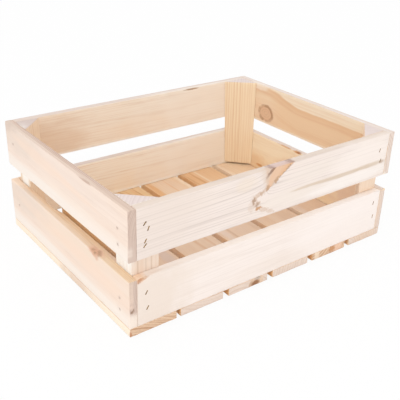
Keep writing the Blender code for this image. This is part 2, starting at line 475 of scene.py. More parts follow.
# %% Halo, heart and rim of a knot
KNOT_AMBER = tone(220, 177, 143)
KNOT_BROWN = tone(158, 112, 78)
KNOT_HALO = tone(238, 208, 180)
KNOT_RINGS = 3.5
PATCH_SCALE = (0.16, 0.16, 0.16)
PATCH_RISE = (-0.25, 0.20)
HALO_FADE = (2.4, 0.9)
HALO_SHARE = 0.4
RING_RISE = (0.45, 0.85)
RING_SHARE = 0.55
AMBER_FADE = (1.05, 0.88)
AMBER_SHARE = 0.7
RIM_RISE = (0.72, 0.95)
RIM_FALL = (1.22, 1.04)
RIM_SHARE = 0.75
CRUST_RISE = (0.70, 0.86)
CRUST_FALL = (1.14, 1.02)
CRUST_START = -0.2


def paint_knot(grain, knot, reach, colour):
    """The amber oval, its broken rings, its dark rim, thickest on one side, and the halo."""
    patchy = grain.space.stretch(PATCH_SCALE).noise(detail=3.0).ease(*PATCH_RISE)
    colour = (reach.ease(*HALO_FADE) * (HALO_SHARE * knot.strength)).tint(colour, KNOT_HALO)
    rings = (reach * KNOT_RINGS).fraction().ease(*RING_RISE) * patchy
    heart = (rings * RING_SHARE).tint(KNOT_AMBER, KNOT_BROWN)
    colour = (reach.ease(*AMBER_FADE) * (AMBER_SHARE * knot.strength)).tint(colour, heart)
    up_left = grain.across - knot.across - (grain.along - knot.along)
    crust = up_left.ease(CRUST_START * knot.half_width, knot.half_width)
    rim = reach.band(RIM_RISE, RIM_FALL) * patchy
    rim = rim.most(reach.band(CRUST_RISE, CRUST_FALL) * crust)
    return (rim * (RIM_SHARE * knot.strength)).tint(colour, KNOT_BROWN)


print("rings in a knot:", KNOT_RINGS)

# %% [markdown]
# ## Stains and painted light
# Resin, bark and a little bruising leave soft marks that follow no ring. Each is an oval that fades at
# its rim, and noise that is drawn out along the grain breaks it up, so it doesn't look airbrushed.
# The same ovals also paint light and shade into the colour in a few places, each marked where it is set.

# %% A soft mark on a board
STAIN_WOBBLE = 0.9
STAIN_SCALE = (2.5, 1.6, 1.0)
STAIN_FADE = (1.15, 0.45)
TORN_SCALE = (0.36, 0.36, 0.36)
FACE_FADE = (-2.0, 2.0)


def near_face(grain, face):
    """1 in the half of a board behind its outer or inner face, 0 in the other half."""
    return (grain.depth * face).ease(*FACE_FADE)


def paint_stain_and_light(grain, soft_mark, colour):
    """Lay the colour of a stain, or of painted light or shade, on the colour below it."""
    flat = oval(grain, soft_mark)
    reach = flat.length() + flat.stretch(STAIN_SCALE).noise(detail=3.0) * STAIN_WOBBLE
    if soft_mark.ragged:
        reach = reach + grain.space.stretch(TORN_SCALE).noise() * soft_mark.ragged
    share = reach.ease(*STAIN_FADE) * soft_mark.strength
    if soft_mark.face:
        share = share * near_face(grain, soft_mark.face)
    return share.tint(colour, soft_mark.colour)


print("stain wobble:", STAIN_WOBBLE)


# %% Marks that show on one face only
def outer(*mark, **more):
    """A stain, or painted light or shade, on the outer face."""
    return StainAndPaintedLight(*mark, face=OUTER_FACE, **more)


def inner(*mark, **more):
    """A stain, or painted light or shade, on the inner face."""
    return StainAndPaintedLight(*mark, face=INNER_FACE, **more)


print("stains fade out over", FACE_FADE[1] - FACE_FADE[0], "mm of wood")

# %% [markdown]
# ## Rings and fibres
# In a year pine grows a wide pale band and then a narrow tan one, which ends sharply. The fraction of
# radius over ring width is a saw-tooth that rises in just that way. Noise bends the rings a little,
# a second noise makes some years wider than others, and a random number for each year makes some
# lines fainter. Fibres and streaks are noise drawn out along the grain, and saw marks are noise drawn
# out across it, so one function makes them all from a few numbers.

# %% Late wood: the tan line that ends each year
SWAY_SCALE = (0.005, 0.028, 0.028)
YEAR_SCALE = 0.45
YEAR_DRIFT = 1.6
LATE_FULL = 0.92
LATE_FALL = (1.0, 0.94)
FAINTEST_YEAR = 0.4


def late_wood(grain, across, timber):
    """1 on a year's dark line, 0 in its pale band."""
    sway = grain.space.stretch(SWAY_SCALE).noise()
    side = across - grain.along * timber.taper + sway * timber.sway - timber.pith[0]
    deep = grain.depth - timber.pith[1]
    years = (side * side + deep * deep) ** 0.5 / timber.ring_width
    sockets = {"W": years, "Scale": YEAR_SCALE}
    years = years + years.node("ShaderNodeTexNoise", {"noise_dimensions": "1D"}, sockets) * YEAR_DRIFT
    year = years.math("FLOOR", years)
    strength = year.node("ShaderNodeTexWhiteNoise", {"noise_dimensions": "1D"}, {"W": year})
    line = years.fraction().band((timber.line_from, LATE_FULL), LATE_FALL)
    return line * (strength * (1.0 - FAINTEST_YEAR) + FAINTEST_YEAR)


print("the faintest year has", FAINTEST_YEAR, "of a full line")

# %% Fibres, streaks, clouds of colour and saw marks
FIBRES = ((0.022, 0.62, 0.62), 3.0, 0.65)
STREAKS = ((0.012, 0.16, 0.16), 2.0, 0.6)
CLOUDS = ((0.007, 0.026, 0.026), 1.0, 0.5)
SAW_MARKS = ((0.52, 0.024, 0.024), 2.0, 0.5)


def figure(grain, kind):
    """Noise from 0 to 1 with so many features in a millimetre along, across and out of the face."""
    features, detail, roughness = kind
    return grain.space.stretch(features).noise(detail, roughness) + 0.5


for kind_name, kind_values in {"fibres": FIBRES, "streaks": STREAKS, "clouds": CLOUDS}.items():
    print(kind_name, "are about", round(1 / kind_values[0][ACROSS], 1), "mm wide")

# %% [markdown]
# ## The pine finish
# Planed pine is pale and almost matt. Late wood stands a hair proud of the soft early wood, an end
# drinks more light than a face, and edges that only met the saw are darker and rougher. The colour is
# laid down in that order, and the same masks then drive the roughness and the bump.

# %% Rings round knots, and the colour of each face
EDGE_RISE = (0.6, 0.9)
DRIFT_RISE = (0.42, 0.68)
STREAK_RISE = (0.48, 0.75)
FIBRE_RISE = (0.50, 0.80)
FIBRE_SHARE = 0.25
SAWN_RISE = (0.45, 0.85)
SAWN_FIBRES = 0.7
CUT_LINES = 0.8
CUT_FIBRES = 0.3


def ring_pattern(grain, timber, reaches):
    """The late wood, with the rings bent round this piece's knots."""
    across = grain.across
    for knot, reach in zip(timber.knots, reaches):
        across = across - bulge(grain, knot, reach)
    for bend in timber.bends:
        across = across - bend(grain)
    return late_wood(grain, across, timber)


def pine_colour(grain, timber, late, fibre, end):
    """Early and late wood, slow drift, streaks, fibres, sawn edges and cut ends."""
    edge = abs(facing(grain, ACROSS)).ease(*EDGE_RISE)
    drift = figure(grain, CLOUDS).ease(*DRIFT_RISE) * timber.drift_share
    streak = figure(grain, STREAKS).ease(*STREAK_RISE) * timber.streak_share
    rough = fibre.ease(*SAWN_RISE)
    colour = (late * timber.contrast).tint(timber.pale, timber.late)
    colour = drift.tint(colour, timber.drift)
    colour = streak.tint(colour, timber.late)
    colour = (fibre.ease(*FIBRE_RISE) * FIBRE_SHARE).tint(colour, timber.late)
    sawn = ((late + rough * SAWN_FIBRES) * timber.edge_lines).tint(timber.edge, timber.late)
    cut_end = (late * CUT_LINES + rough * CUT_FIBRES).tint(timber.end, timber.end_dark)
    return end.tint(edge.tint(colour, sawn), cut_end)


print("share of the fibres in the colour:", FIBRE_SHARE)

# %% One material for each piece of wood
WOOD_SPECULAR = 0.25
WOOD_ROUGHNESS = 0.52
FIBRE_ROUGHNESS = 0.16
END_ROUGHNESS = 0.14
END_RISE = (0.55, 0.85)
RELIEF = 0.00012
RELIEF_STRENGTH = 0.6
LATE_PROUD = 0.5
FIBRE_PROUD = 0.5
SAW_PROUD = 0.4


def close_material(start, colour, roughness, bump, constants):
    """A Principled shader with a bump of some strength, depth and height, wired to the output."""
    strength, depth, height = bump
    normal = start.node("ShaderNodeBump", {}, {"Strength": strength, "Distance": depth, "Height": height})
    sockets = {"Base Color": colour, "Roughness": roughness, "Normal": normal, **constants}
    shader = start.node("ShaderNodeBsdfPrincipled", {}, sockets)
    start.node("ShaderNodeOutputMaterial", {}, {"Surface": shader})


def pine(name, middle, turn, timber):
    """Build one piece's material."""
    material = bpy.data.materials.new(name)
    start = empty_tree(material)
    grain = grain_of(start, middle, turn)
    reaches = [knot_reach(grain, knot) for knot in timber.knots]
    late = ring_pattern(grain, timber, reaches)
    fibre = figure(grain, FIBRES)
    end = abs(facing(grain, ALONG)).ease(*END_RISE)
    colour = pine_colour(grain, timber, late, fibre, end)
    for growth in timber.growths:
        colour = growth(grain, colour)
    for knot, reach in zip(timber.knots, reaches):
        colour = paint_knot(grain, knot, reach, colour)
    for soft_mark in timber.stains_and_painted_light:
        colour = paint_stain_and_light(grain, soft_mark, colour)
    height = late * LATE_PROUD + fibre * FIBRE_PROUD + figure(grain, SAW_MARKS) * SAW_PROUD
    roughness = fibre * FIBRE_ROUGHNESS + end * END_ROUGHNESS + WOOD_ROUGHNESS
    bump = (RELIEF_STRENGTH, RELIEF, height)
    close_material(start, colour, roughness, bump, {"Specular IOR Level": WOOD_SPECULAR})
    return material


print("relief of the grain in mm:", RELIEF / MM)

# %% [markdown]
# ## A sawn blank
# All boards start the same way, so a blank is modelled once for each size and copied. A cube at the
# board's size gets eased edges with a bevel, and then its long edges are subdivided, which lays loops
# of faces across it. Those loops give the later wear something to move.

# %% Selecting and cutting in edit mode
EDGE_EASE = 0.0005
EASE_STEPS = 2
GRID_ALONG = 0.0040
GRID_ACROSS = 0.0028
SAME_WAY = 0.95
LONG_EDGE = 1.5


def pick(piece):
    """Make one piece the only selected and the active object."""
    bpy.ops.object.select_all(action="DESELECT")
    piece.select_set(True)
    bpy.context.view_layer.objects.active = piece


def cut_loops(piece, direction, spacing):
    """Subdivide the long edges that run in one direction, so that loops cross it."""
    bpy.ops.mesh.select_mode(type="EDGE")
    bpy.ops.mesh.select_all(action="DESELECT")
    shape = bmesh.from_edit_mesh(piece.data)
    longest = 0.0
    for edge in shape.edges:
        span = edge.verts[1].co - edge.verts[0].co
        if abs(span.dot(direction)) > SAME_WAY * span.length and span.length > LONG_EDGE * spacing:
            edge.select_set(True)
            longest = max(longest, span.length)
    bmesh.update_edit_mesh(piece.data)
    bpy.ops.mesh.subdivide(number_cuts=max(1, round(longest / spacing) - 1))


def ease_edges():
    """Bevel every edge of the shape in edit mode."""
    bpy.ops.mesh.select_all(action="SELECT")
    bpy.ops.mesh.bevel(offset=EDGE_EASE, segments=EASE_STEPS, affect="EDGES")


print("grid in mm:", GRID_ALONG / MM, "by", GRID_ACROSS / MM)


# %% One blank for each size of board
def node_size(node):
    """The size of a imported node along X, Y and Z."""
    low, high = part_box(node)
    return high - low


def node_middle(node):
    """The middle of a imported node's box."""
    low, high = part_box(node)
    return (low + high) / 2


def board_blank(name, size):
    """A board about the origin with eased edges and a grid of faces."""
    blank = add_primitive(bpy.ops.mesh.primitive_cube_add, name, size=1.0, scale=size)
    bpy.ops.object.mode_set(mode="EDIT")
    ease_edges()
    longest = max(range(3), key=lambda axis: size[axis])
    for axis in range(3):
        direction = Vector([float(axis == other) for other in range(3)])
        cut_loops(blank, direction, GRID_ALONG if axis == longest else GRID_ACROSS)
    bpy.ops.object.mode_set(mode="OBJECT")
    return blank


BLANKS = {
    "long_board": board_blank("long_board_blank", node_size("front_upper_board")),
    "end_board": board_blank("end_board_blank", node_size("left_upper_end_board")),
    "slat": board_blank("slat_blank", node_size("bottom_slat_1")),
}
for blank_name, blank_piece in BLANKS.items():
    print(blank_name, "faces:", len(blank_piece.data.polygons))

# %% [markdown]
# ## A three-cornered post
# The corner posts are square sticks ripped along the diagonal. That is just how one is modelled: a
# cube is bisected by its diagonal plane, the open side is filled, and the edges are eased. A cylinder
# with three sides would have three equal corners, and these have one square corner and two sharp ones.
# Where the saw wandered, the foot is narrower than the rim, so the foot's points are drawn in.

# %% Rip a square stick along its diagonal
HALF_TURN = math.pi
QUARTER_TURN = math.pi / 2


def select_points(piece, chosen):
    """Select the points whose place passes a test, in edit mode."""
    bpy.ops.mesh.select_mode(type="VERT")
    bpy.ops.mesh.select_all(action="DESELECT")
    shape = bmesh.from_edit_mesh(piece.data)
    for point in shape.verts:
        point.select_set(chosen(point.co))
    shape.select_flush_mode()
    bmesh.update_edit_mesh(piece.data)


def rip_post(node, turn, foot_share):
    """A post on its node: ripped with its square corner at -X and -Y, then turned into place."""
    size = node_size(node)
    foot = (foot_share, 1.0, 1.0)
    if abs(turn) == QUARTER_TURN:
        size = Vector((size.y, size.x, size.z))
        foot = (1.0, foot_share, 1.0)
    post = add_primitive(bpy.ops.mesh.primitive_cube_add, f"pine_{node}", size=1.0, scale=size)
    post.data.name = post.name
    bpy.ops.object.mode_set(mode="EDIT")
    bpy.ops.mesh.select_all(action="SELECT")
    diagonal = (size.y, size.x, 0.0)
    bpy.ops.mesh.bisect(plane_co=(0, 0, 0), plane_no=diagonal, use_fill=True, clear_outer=True)
    select_points(post, lambda place: place.z < 0)
    bpy.ops.transform.resize(value=foot, center_override=size / -2)
    ease_edges()
    cut_loops(post, Vector((0, 0, 1)), GRID_ALONG)
    bpy.ops.object.mode_set(mode="OBJECT")
    post.rotation_euler = (0.0, 0.0, turn)
    post.location = node_middle(node)
    bpy.ops.object.transform_apply(location=True, rotation=True, scale=True)
    return post


print("posts to rip:", len([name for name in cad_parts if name.endswith("_post")]))

# %% [markdown]
# ## Wear
# Sawn wood is never quite flat, and its edges are a little ragged. Two Displace modifiers do that: a
# slow one moves whole faces by a tenth of a millimetre, and a finer one acts only on a vertex group of
# the edges and takes wood away. Both read local coordinates, so every copy wears in its own way.

# %% Waves in the faces and ragged edges
WAVE_HEIGHT = 0.00024
WAVE_WIDTH = 0.030
RAGGED_DEPTH = 0.0008
RAGGED_WIDTH = 0.007
RAGGED_LEVEL = 0.42
EVEN_LEVEL = 0.5
EDGE_TURN = 0.97
SMOOTH_ANGLE = math.radians(32)


def cloud_texture(name, width):
    """A cloudy texture with lumps of one width."""
    texture = bpy.data.textures.new(name, "CLOUDS")
    texture.noise_scale = width
    return texture


WAVES = cloud_texture("face_waves", WAVE_WIDTH)
RAGGED = cloud_texture("ragged_edges", RAGGED_WIDTH)


def apply_modifier(piece, modifier):
    """Make what a modifier does part of a piece's mesh."""
    pick(piece)
    bpy.ops.object.modifier_apply(modifier=modifier.name)


def displace(piece, name, texture, strength, level, group=""):
    """Push a piece's points along their normals by a texture, and keep the result."""
    push = piece.modifiers.new(name, "DISPLACE")
    push.texture = texture
    push.texture_coords = "LOCAL"
    push.strength = strength
    push.mid_level = level
    push.vertex_group = group
    apply_modifier(piece, push)


def group_edges(piece):
    """Put the points of the eased edges into a vertex group."""
    group = piece.vertex_groups.new(name="edges")
    shape = bmesh.new()
    shape.from_mesh(piece.data)
    shape.normal_update()
    turned = [v.index for v in shape.verts if min(v.normal.dot(f.normal) for f in v.link_faces) < EDGE_TURN]
    shape.free()
    group.add(turned, 1.0, "REPLACE")
    return group.name


def wear(piece):
    """Waves in the faces first, then ragged edges."""
    displace(piece, "face_waves", WAVES, WAVE_HEIGHT, EVEN_LEVEL)
    displace(piece, "ragged_edges", RAGGED, -RAGGED_DEPTH, RAGGED_LEVEL, group_edges(piece))


print("face waves in mm:", WAVE_HEIGHT / MM, "edge wear in mm:", RAGGED_DEPTH / MM)

# %% [markdown]
# ## Seats for the fasteners
# A staple or a nail presses its own shape into the wood, and its crown lies just under the face. So
# each seat is cut with a copy of the fastener itself, made fatter by the room round it. The copy's
# loose triangles are merged first, because a Boolean needs a closed cutter. Then its outermost points
# are drawn out through the face, so that the seat is open and the metal shows.

# %% Cut the seats with fattened copies
SEAT_ROOM = 0.00016
SEAT_MOUTH = 0.0010
MERGE_DISTANCE = 0.00001
OUTWARD = {
    "front": Vector((0.0, -1.0, 0.0)),
    "back": Vector((0.0, 1.0, 0.0)),
    "left": Vector((-1.0, 0.0, 0.0)),
    "right": Vector((1.0, 0.0, 0.0)),
    "slat": Vector((0.0, 0.0, -1.0)),
}


def seat_cutter(node):
    """A closed, fattened copy of one packed fastener, drawn out through the face."""
    cutter = bpy.data.objects.new(f"{node}_seat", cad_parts[node].data.copy())
    bpy.context.scene.collection.objects.link(cutter)
    pick(cutter)
    outward = OUTWARD[node.split("_")[0]]
    bpy.ops.object.mode_set(mode="EDIT")
    bpy.ops.mesh.select_all(action="SELECT")
    bpy.ops.mesh.remove_doubles(threshold=MERGE_DISTANCE)
    bpy.ops.transform.shrink_fatten(value=SEAT_ROOM, use_even_offset=True)
    crown = max(point.co.dot(outward) for point in bmesh.from_edit_mesh(cutter.data).verts)
    select_points(cutter, lambda place: place.dot(outward) > crown - MERGE_DISTANCE)
    bpy.ops.transform.translate(value=outward * SEAT_MOUTH)
    bpy.ops.object.mode_set(mode="OBJECT")
    return cutter


def cutter_from(nodes):
    """One cutter for all the fasteners in a piece."""
    cutters = [seat_cutter(node) for node in nodes]
    bpy.ops.object.select_all(action="DESELECT")
    for cutter in cutters:
        cutter.select_set(True)
    bpy.context.view_layer.objects.active = cutters[0]
    if len(cutters) > 1:
        bpy.ops.object.join()
    return bpy.context.view_layer.objects.active


def carve(piece, cutter):
    """Take a cutter's shape out of a piece, and throw the cutter away."""
    cut = piece.modifiers.new("carve", "BOOLEAN")
    cut.operation = "DIFFERENCE"
    cut.solver = "EXACT"
    cut.object = cutter
    apply_modifier(piece, cut)
    bpy.data.objects.remove(cutter, do_unlink=True)


FASTENERS = [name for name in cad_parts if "_staple_" in name or "_nail_" in name]


def held_by(node):
    """The fasteners that reach into a piece, by their boxes."""
    low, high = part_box(node)
    found = []
    for fastener in FASTENERS:
        bottom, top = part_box(fastener)
        if all(bottom[axis] < high[axis] and top[axis] > low[axis] for axis in range(3)):
            found.append(fastener)
    return found


print("fasteners:", len(FASTENERS), "in the front upper board:", len(held_by("front_upper_board")))

# %% [markdown]
# ## Chips and nicks
# Handling knocks splinters off the ends of boards. A chip is a rough hollow, so it is carved with an
# icosphere that is squashed, turned and made uneven before it cuts.

# %% A rough cutter for a chip
CHIP_ROUGHNESS = 0.35
CHIP_GRAIN = 0.004
CHIP_FACES = cloud_texture("chip_faces", CHIP_GRAIN)


def chip(piece, place, half_size, turn=(0.0, 0.0, 0.0)):
    """Carve a rough hollow out of a piece."""
    ball = {"subdivisions": 3, "radius": 1.0, "location": place, "rotation": turn, "scale": half_size}
    cutter = add_primitive(bpy.ops.mesh.primitive_ico_sphere_add, "chip_cutter", **ball)
    displace(cutter, "rough_face", CHIP_FACES, min(half_size) * CHIP_ROUGHNESS, EVEN_LEVEL)
    carve(piece, cutter)


print("chip roughness:", CHIP_ROUGHNESS)

# %% [markdown]
# ## From blank to finished piece
# A finished piece is a copy of its blank with its own mesh, set on its node, worn, and seated on its
# fasteners. Its object stays at the origin with its place in the mesh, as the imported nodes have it, so
# Object coordinates are the crate's own metres and the grain stays where it was cut.

# %% Set a copy on its node and finish it
def copy_blank(blank, node):
    """A copy of a blank with its own mesh, moved onto a node."""
    piece = bpy.data.objects.new(f"pine_{node}", BLANKS[blank].data.copy())
    piece.data.name = piece.name
    bpy.context.scene.collection.objects.link(piece)
    piece.location = node_middle(node)
    pick(piece)
    bpy.ops.object.transform_apply(location=True, rotation=True, scale=True)
    return piece


def finish_piece(piece, node, material):
    """Seat the fasteners, dress the piece and let it stand for its node."""
    fasteners = held_by(node)
    if fasteners:
        carve(piece, cutter_from(fasteners))
    piece.data.materials.clear()
    piece.data.materials.append(material)
    for face in piece.data.polygons:
        face.material_index = 0
    pick(piece)
    bpy.ops.object.shade_smooth_by_angle(angle=SMOOTH_ANGLE)
    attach(piece, "root")
    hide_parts(node)
    print(piece.name, "faces:", len(piece.data.polygons))


print("edges are smooth up to", round(math.degrees(SMOOTH_ANGLE)), "degrees")

# %% Saw all the pieces of one kind
FACE_TURNS = {
    "front": Euler((QUARTER_TURN, 0.0, 0.0)),
    "back": Euler((QUARTER_TURN, 0.0, HALF_TURN)),
    "left": Euler((QUARTER_TURN, 0.0, -QUARTER_TURN)),
    "right": Euler((QUARTER_TURN, 0.0, QUARTER_TURN)),
    "bottom": Euler((0.0, 0.0, QUARTER_TURN)),
}
CHIPPED = {
    "front_lower_board": ((-0.1870, -0.1512, 0.0682), (0.0064, 0.0036, 0.0052), (0.0, -0.5, 0.0)),
    "left_upper_end_board": ((-0.2004, -0.0650, 0.1500), (0.0022, 0.0130, 0.0016), (0.05, 0.0, 0.0)),
    "right_lower_end_board": ((0.1955, -0.1502, 0.0685), (0.0040, 0.0030, 0.0026), (0.3, 0.0, 0.0)),
    "bottom_slat_1": ((-0.1395, 0.1430, 0.0085), (0.0032, 0.0170, 0.0065)),
    "bottom_slat_2": ((-0.1350, 0.1500, 0.0050), (0.0050, 0.0095, 0.0090)),
}


def saw(blank, timbers):
    """Copy, wear, chip and finish each piece of one kind, with the grain turned to its side of the crate."""
    for node, timber in timbers.items():
        piece = copy_blank(blank, node)
        wear(piece)
        if node in CHIPPED:
            chip(piece, *CHIPPED[node])
        turn = FACE_TURNS[node.split("_")[0]]
        finish_piece(piece, node, pine(f"{node}_pine", node_middle(node), turn, timber))


print("chipped pieces:", len(CHIPPED))

# %% [markdown]
# ## The spike knot on the front
# The front upper board has a branch that the saw met lengthwise. It shows as a wedge of peach wood that
# widens up to the top edge, with bark along its left side, and a thin scar runs down from its tip.
# An oval can't taper, so this one is drawn by slope: every line through the wedge's tip has one, and
# the wedge is what lies between two of them. The rings on its left turn up towards it.

# %% Where the wedge lies
SPIKE_TIP = (-20.0, 2.0)
SPIKE_LEFT = -0.06
SPIKE_RIGHT = 1.48
SPIKE_SCALE = (0.22, 0.22, 0.22)
SIDE_WOBBLE = 6.0
LEAST_RISE = 0.5
TIP_FADE = 5.0


@dataclass
class Wedge:
    """The wedge's own measures: height above its tip, slope, and -1 to 1 from its left to its right."""

    rise: Wire
    slope: Wire
    share: Wire
    wobble: Wire
    face: Wire
    started: Wire


def wedge_of(grain):
    """Measure the wood by the lines through the wedge's tip."""
    wobble = grain.space.stretch(SPIKE_SCALE).noise(detail=3.0)
    rise = (grain.across - SPIKE_TIP[1]).most(LEAST_RISE)
    slope = (grain.along - SPIKE_TIP[0] + wobble * SIDE_WOBBLE) / rise
    share = (slope - SPIKE_LEFT) / ((SPIKE_RIGHT - SPIKE_LEFT) / 2) - 1.0
    face = near_face(grain, OUTER_FACE)
    started = grain.across.ease(SPIKE_TIP[1], SPIKE_TIP[1] + TIP_FADE) * face
    return Wedge(rise, slope, share, wobble, face, started)


print("the wedge's sides lean by", SPIKE_LEFT, "and", SPIKE_RIGHT)

# %% Wood and halo of the wedge
SPIKE_PEACH = tone(234, 197, 167)
SPIKE_GOLD = tone(230, 186, 146)
SPIKE_TAN = tone(227, 202, 182)
SPIKE_HALO = tone(229, 210, 194)
TAN_RISE = (-0.40, -0.70)
GOLD_RISE = (0.10, 0.90)
FAN_ACROSS = 6.0
FAN_UP = 0.06
FAN_RISE = (0.0, 0.25)
FAN_SHARE = 0.5
LEFT_HALO_RISE = (-1.7, -1.1)
LEFT_HALO_FALL = (-0.6, -0.9)
LEFT_HALO_START = (3.0, 9.0)
LEFT_HALO_SHARE = 0.6
WEDGE_FADE = (1.15, 0.88)


def paint_wedge(wedge, colour):
    """A greyish halo on the left, and peach wood that is tan on its left and golden on its right."""
    spread = {0: wedge.slope * FAN_ACROSS, 1: wedge.rise * FAN_UP}
    fan = wedge.slope.node("ShaderNodeCombineXYZ", {}, spread)
    wood = wedge.share.ease(*TAN_RISE).tint(SPIKE_PEACH, SPIKE_TAN)
    wood = wedge.share.ease(*GOLD_RISE).tint(wood, SPIKE_GOLD)
    wood = (fan.noise().ease(*FAN_RISE) * FAN_SHARE).tint(wood, KNOT_AMBER)
    halo = wedge.share.band(LEFT_HALO_RISE, LEFT_HALO_FALL) * wedge.rise.ease(*LEFT_HALO_START)
    colour = (halo * wedge.face * LEFT_HALO_SHARE).tint(colour, SPIKE_HALO)
    return (abs(wedge.share).ease(*WEDGE_FADE) * wedge.started).tint(colour, wood)


print("the wedge fades out from", WEDGE_FADE[1], "to", WEDGE_FADE[0], "of its half width")

# %% Bark beside the wedge and on the top edge
BARK_BROWN = tone(142, 106, 88)
BARK_LILAC = tone(222, 197, 190)
LEAN_HEIGHT = 23.0
LEAN_SHARE = 0.05
LEFT_BARK_RISE = (-0.88, -0.68)
LEFT_BARK_FALL = (-0.38, -0.58)
LEFT_BARK_START = (13.0, 23.0)
LEFT_BARK_SHARE = 0.8
RIGHT_BARK_RISE = (0.70, 0.94)
RIGHT_BARK_FALL = (1.22, 1.02)
RIGHT_BARK_START = (2.0, 6.0)
RIGHT_BARK_BREAKS = (-0.10, 0.08)
RIGHT_BARK_SHARE = 0.5
TOP_WOBBLE = 12.0
TOP_RISE = (-18.5, -12.5)
TOP_FALL = (24.0, 18.0)
TOP_LEFT_END = (-5.5, -13.5)
TOP_RIGHT_END = (10.0, 18.0)
TOP_LILAC_SHARE = 0.8
TOP_BROWN_SHARE = 0.55


def paint_side_bark(wedge, colour):
    """A leaning streak high on the wedge's left side and a broken line down its right side."""
    lean = wedge.share - (wedge.rise - LEAN_HEIGHT) * LEAN_SHARE
    left = lean.band(LEFT_BARK_RISE, LEFT_BARK_FALL) * wedge.rise.ease(*LEFT_BARK_START)
    right = wedge.share.band(RIGHT_BARK_RISE, RIGHT_BARK_FALL) * wedge.rise.ease(*RIGHT_BARK_START)
    right = right * wedge.wobble.ease(*RIGHT_BARK_BREAKS)
    bark = (left * LEFT_BARK_SHARE).most(right * RIGHT_BARK_SHARE) * wedge.started
    return bark.tint(colour, BARK_BROWN)


def paint_top_bark(grain, wedge, colour):
    """A lilac patch on the top edge above the wedge, brown at both ends."""
    patch = grain.along + wedge.wobble * TOP_WOBBLE
    bark = facing(grain, ACROSS).ease(*EDGE_RISE) * patch.band(TOP_RISE, TOP_FALL)
    ends = patch.ease(*TOP_LEFT_END).most(patch.ease(*TOP_RIGHT_END))
    colour = (bark * TOP_LILAC_SHARE).tint(colour, BARK_LILAC)
    return (bark * ends * TOP_BROWN_SHARE).tint(colour, BARK_BROWN)


def spike_knot(grain, colour):
    """The whole knot, from the wood up to the bark that lies on it."""
    wedge = wedge_of(grain)
    colour = paint_side_bark(wedge, paint_wedge(wedge, colour))
    return paint_top_bark(grain, wedge, colour)


print("bark on the top edge, from and to, in mm:", TOP_RISE[1], TOP_FALL[1])

# %% Rings that turn towards the wedge
RING_LIFT = 6.5
RING_PRESS = 0.4
RING_SIDES = (-14.0, 4.0)
RING_REACH_LEFT = 16.0
RING_REACH_RIGHT = 4.0


def spike_bend(grain):
    """How far the rings beside the wedge's left side are lifted above its tip, and pressed down below."""
    run = grain.along - SPIKE_TIP[0] - (grain.across - SPIKE_TIP[1]).most(0.0) * SPIKE_LEFT
    fall = (run / RING_REACH_LEFT).least(run / -RING_REACH_RIGHT)
    side = grain.across.ease(*RING_SIDES) * (1.0 + RING_PRESS) - RING_PRESS
    return math.e ** fall * side * RING_LIFT


print("rings are lifted by up to", RING_LIFT, "mm")

# %% [markdown]
# ## The long boards
# All four are sawn from pale sapwood, but no two look alike. The front upper board shows close grey
# lines, the lower one almost none, and the back boards have brown streaks. A splinter has come off the
# front lower board's left corner, down to orange wood. Noise would never put a scar where the real one
# is, so each mark is a stain set one by one, wide washes first and small marks over them. On the back
# boards' inner faces some of these ovals are painted light and shade instead, and the front lower
# board's top edge is painted paler, painted light against the upper board's shade.

# %% Colours and marks of the long boards
CLEAR_CREAM = tone(244, 232, 222)
SCAR_TAN = tone(222, 198, 180)
SCAR_BROWN = tone(196, 160, 130)
SCAR_DARK = tone(182, 152, 130)
SCAR_ORANGE = tone(204, 156, 116)
RESIN_TAN = tone(216, 194, 170)
WANE_BROWN = tone(178, 142, 112)
SPLINTER_ORANGE = tone(246, 210, 176)
SPLINTER_DARK = tone(190, 130, 92)
# the back boards' late-wood tone, also used as painted shade at the left end of their inner faces
BACK_LATE_AND_SHADE = tone(220, 186, 154)
BACK_EDGE = tone(229, 213, 204)
# painted highlight: a pale band along the lower edge of a back board's inner face
PAINTED_LOW_EDGE_LIGHT = tone(255, 250, 242)
LONG_ENDS = {"end": tone(236, 216, 202), "end_dark": tone(214, 186, 166)}
SCAR_RAGGED = 1.7
FRONT_WASHES = (
    outer(-165, 0, 70, 60, tone(235, 220, 209), 0.5),
    outer(150, 8, 80, 26, tone(251, 240, 232), 0.75),
    outer(120, -19, 110, 9, tone(252, 244, 238), 0.75),
    outer(-50, 19, 18, 10, tone(241, 225, 207), 0.5),
    outer(22.0, -13.0, 64.0, 12.0, CLEAR_CREAM, 0.85, lean=2),
    outer(54.0, 10.0, 60.0, 12.0, CLEAR_CREAM, 0.65),
)


def torn(*mark):
    """A mark of the scar: on the outer face only, with a torn rim."""
    return outer(*mark, ragged=SCAR_RAGGED)


SCAR = (
    torn(-9.5, 9.8, 4.5, 2.2, SCAR_TAN, 0.8, 38),
    torn(-22.5, 3.6, 7.0, 3.4, SCAR_TAN, 0.8, 35),
    torn(-27.5, 1.8, 7.0, 3.6, SCAR_TAN, 0.8, 22),
    torn(-33.5, 0.0, 6.0, 3.0, SCAR_TAN, 0.8, 20),
    torn(-37.0, -4.0, 4.2, 6.2, SCAR_TAN, 0.9),
    torn(-32.2, -9.8, 5.2, 5.0, SCAR_TAN, 0.9, -40),
    torn(-20.5, -20.0, 9.0, 3.2, SCAR_TAN, 0.75, -15),
    torn(-12.0, -24.5, 8.0, 2.8, SCAR_TAN, 0.65, -18),
    torn(-41.0, -12.0, 5.5, 7.0, SCAR_TAN, 0.4),
    torn(-5.0, 13.0, 4.8, 2.8, SCAR_BROWN, 0.9, 48),
    torn(-17.8, 6.4, 4.6, 2.8, SCAR_BROWN, 0.9, 60),
    torn(-26.5, 2.6, 4.2, 2.2, SCAR_BROWN, 0.5, 30),
    torn(-37.4, -5.0, 2.6, 4.6, SCAR_DARK, 0.9, -8),
    torn(-31.6, -10.4, 3.2, 3.4, SCAR_DARK, 0.75, 20),
    torn(-29.8, -16.2, 5.6, 2.5, SCAR_ORANGE, 0.95, 8),
)
